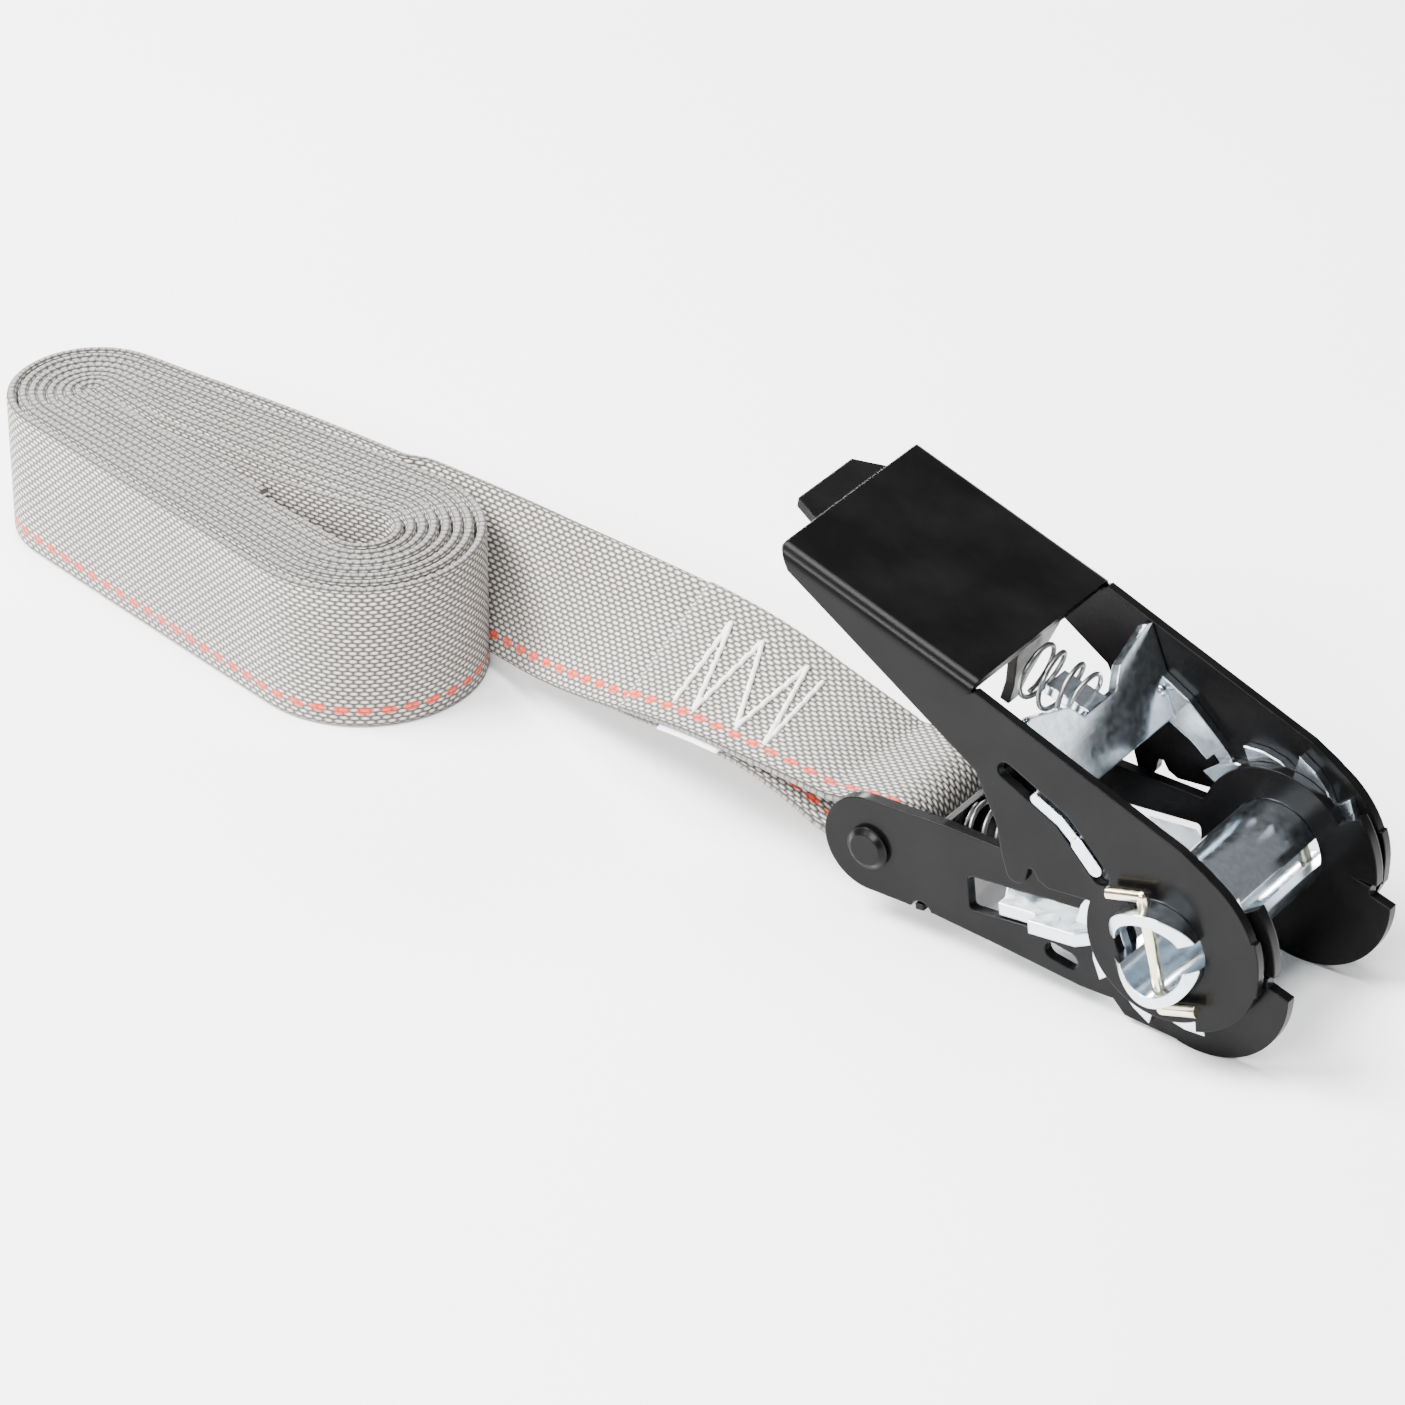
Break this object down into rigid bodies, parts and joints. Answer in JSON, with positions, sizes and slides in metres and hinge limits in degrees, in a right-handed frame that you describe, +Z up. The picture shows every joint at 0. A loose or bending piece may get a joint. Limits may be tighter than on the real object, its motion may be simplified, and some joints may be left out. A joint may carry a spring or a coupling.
{
  "type": "ratchet tie down",
  "caption": "Ratchet buckle for narrow webbing, its folding handle half open, with its sewn strap lying in a neat coil on edge.",
  "frame": {"origin": "on the ground under the middle of the ratchet, without its strap", "axes": "+X towards the reel end, +Y across the ratchet from the near side to the far side, +Z up"},
  "size_m": [0.2501, 0.0475, 0.0636],
  "materials": {
    "black_steel": "satin black coating",
    "zinc_steel": "bright zinc plate, bluish",
    "spring_steel": "drawn wire",
    "yellow_zinc": "yellow zinc plate",
    "webbing": "plain woven polyester with one orange tracer",
    "label_tape": "blank white label tape"
  },
  "bodies": {
    "base": {"base_plate_near": "black_steel", "base_plate_far": "black_steel", "rear_pin": "black_steel", "pin_sleeve": "zinc_steel", "spring_bracket": "black_steel", "latch_spring": "spring_steel", "strap_loop": "webbing", "strap_run": "webbing", "strap_label": "label_tape", "strap_coil": "webbing"},
    "latch": {"locking_latch": "zinc_steel"},
    "handle": {"handle": "black_steel", "pawl_spring": "spring_steel"},
    "pawl": {"handle_pawl": "zinc_steel"},
    "reel": {"ratchet_wheel_near": "zinc_steel", "ratchet_wheel_far": "zinc_steel", "mandrel_half_upper": "zinc_steel", "mandrel_half_lower": "zinc_steel", "cotter_pin_near": "yellow_zinc", "cotter_pin_far": "yellow_zinc"}
  },
  "joints": [
    {"name": "handle_swing", "type": "hinge", "parent": "base", "child": "handle", "pos_m": [0.0265, 0, 0.01848], "axis": [0, 1, 0], "range_deg": [-25, 142]},
    {"name": "reel_spin", "type": "hinge", "parent": "base", "child": "reel", "pos_m": [0.0265, 0, 0.01848], "axis": [0, 1, 0], "range_deg": [0, 864]},
    {"name": "latch_pull", "type": "slide", "parent": "base", "child": "latch", "axis": [-0.9951, 0, -0.0993], "range_m": [0, 0.0035], "stiffness_N_per_m": 300, "springref_m": -0.004, "deforming": ["latch_spring"]},
    {"name": "pawl_pull", "type": "slide", "parent": "handle", "child": "pawl", "axis": [-0.6981, 0, 0.716], "range_m": [0, 0.003], "stiffness_N_per_m": 400, "springref_m": -0.004, "deforming": ["pawl_spring"]}
  ]
}
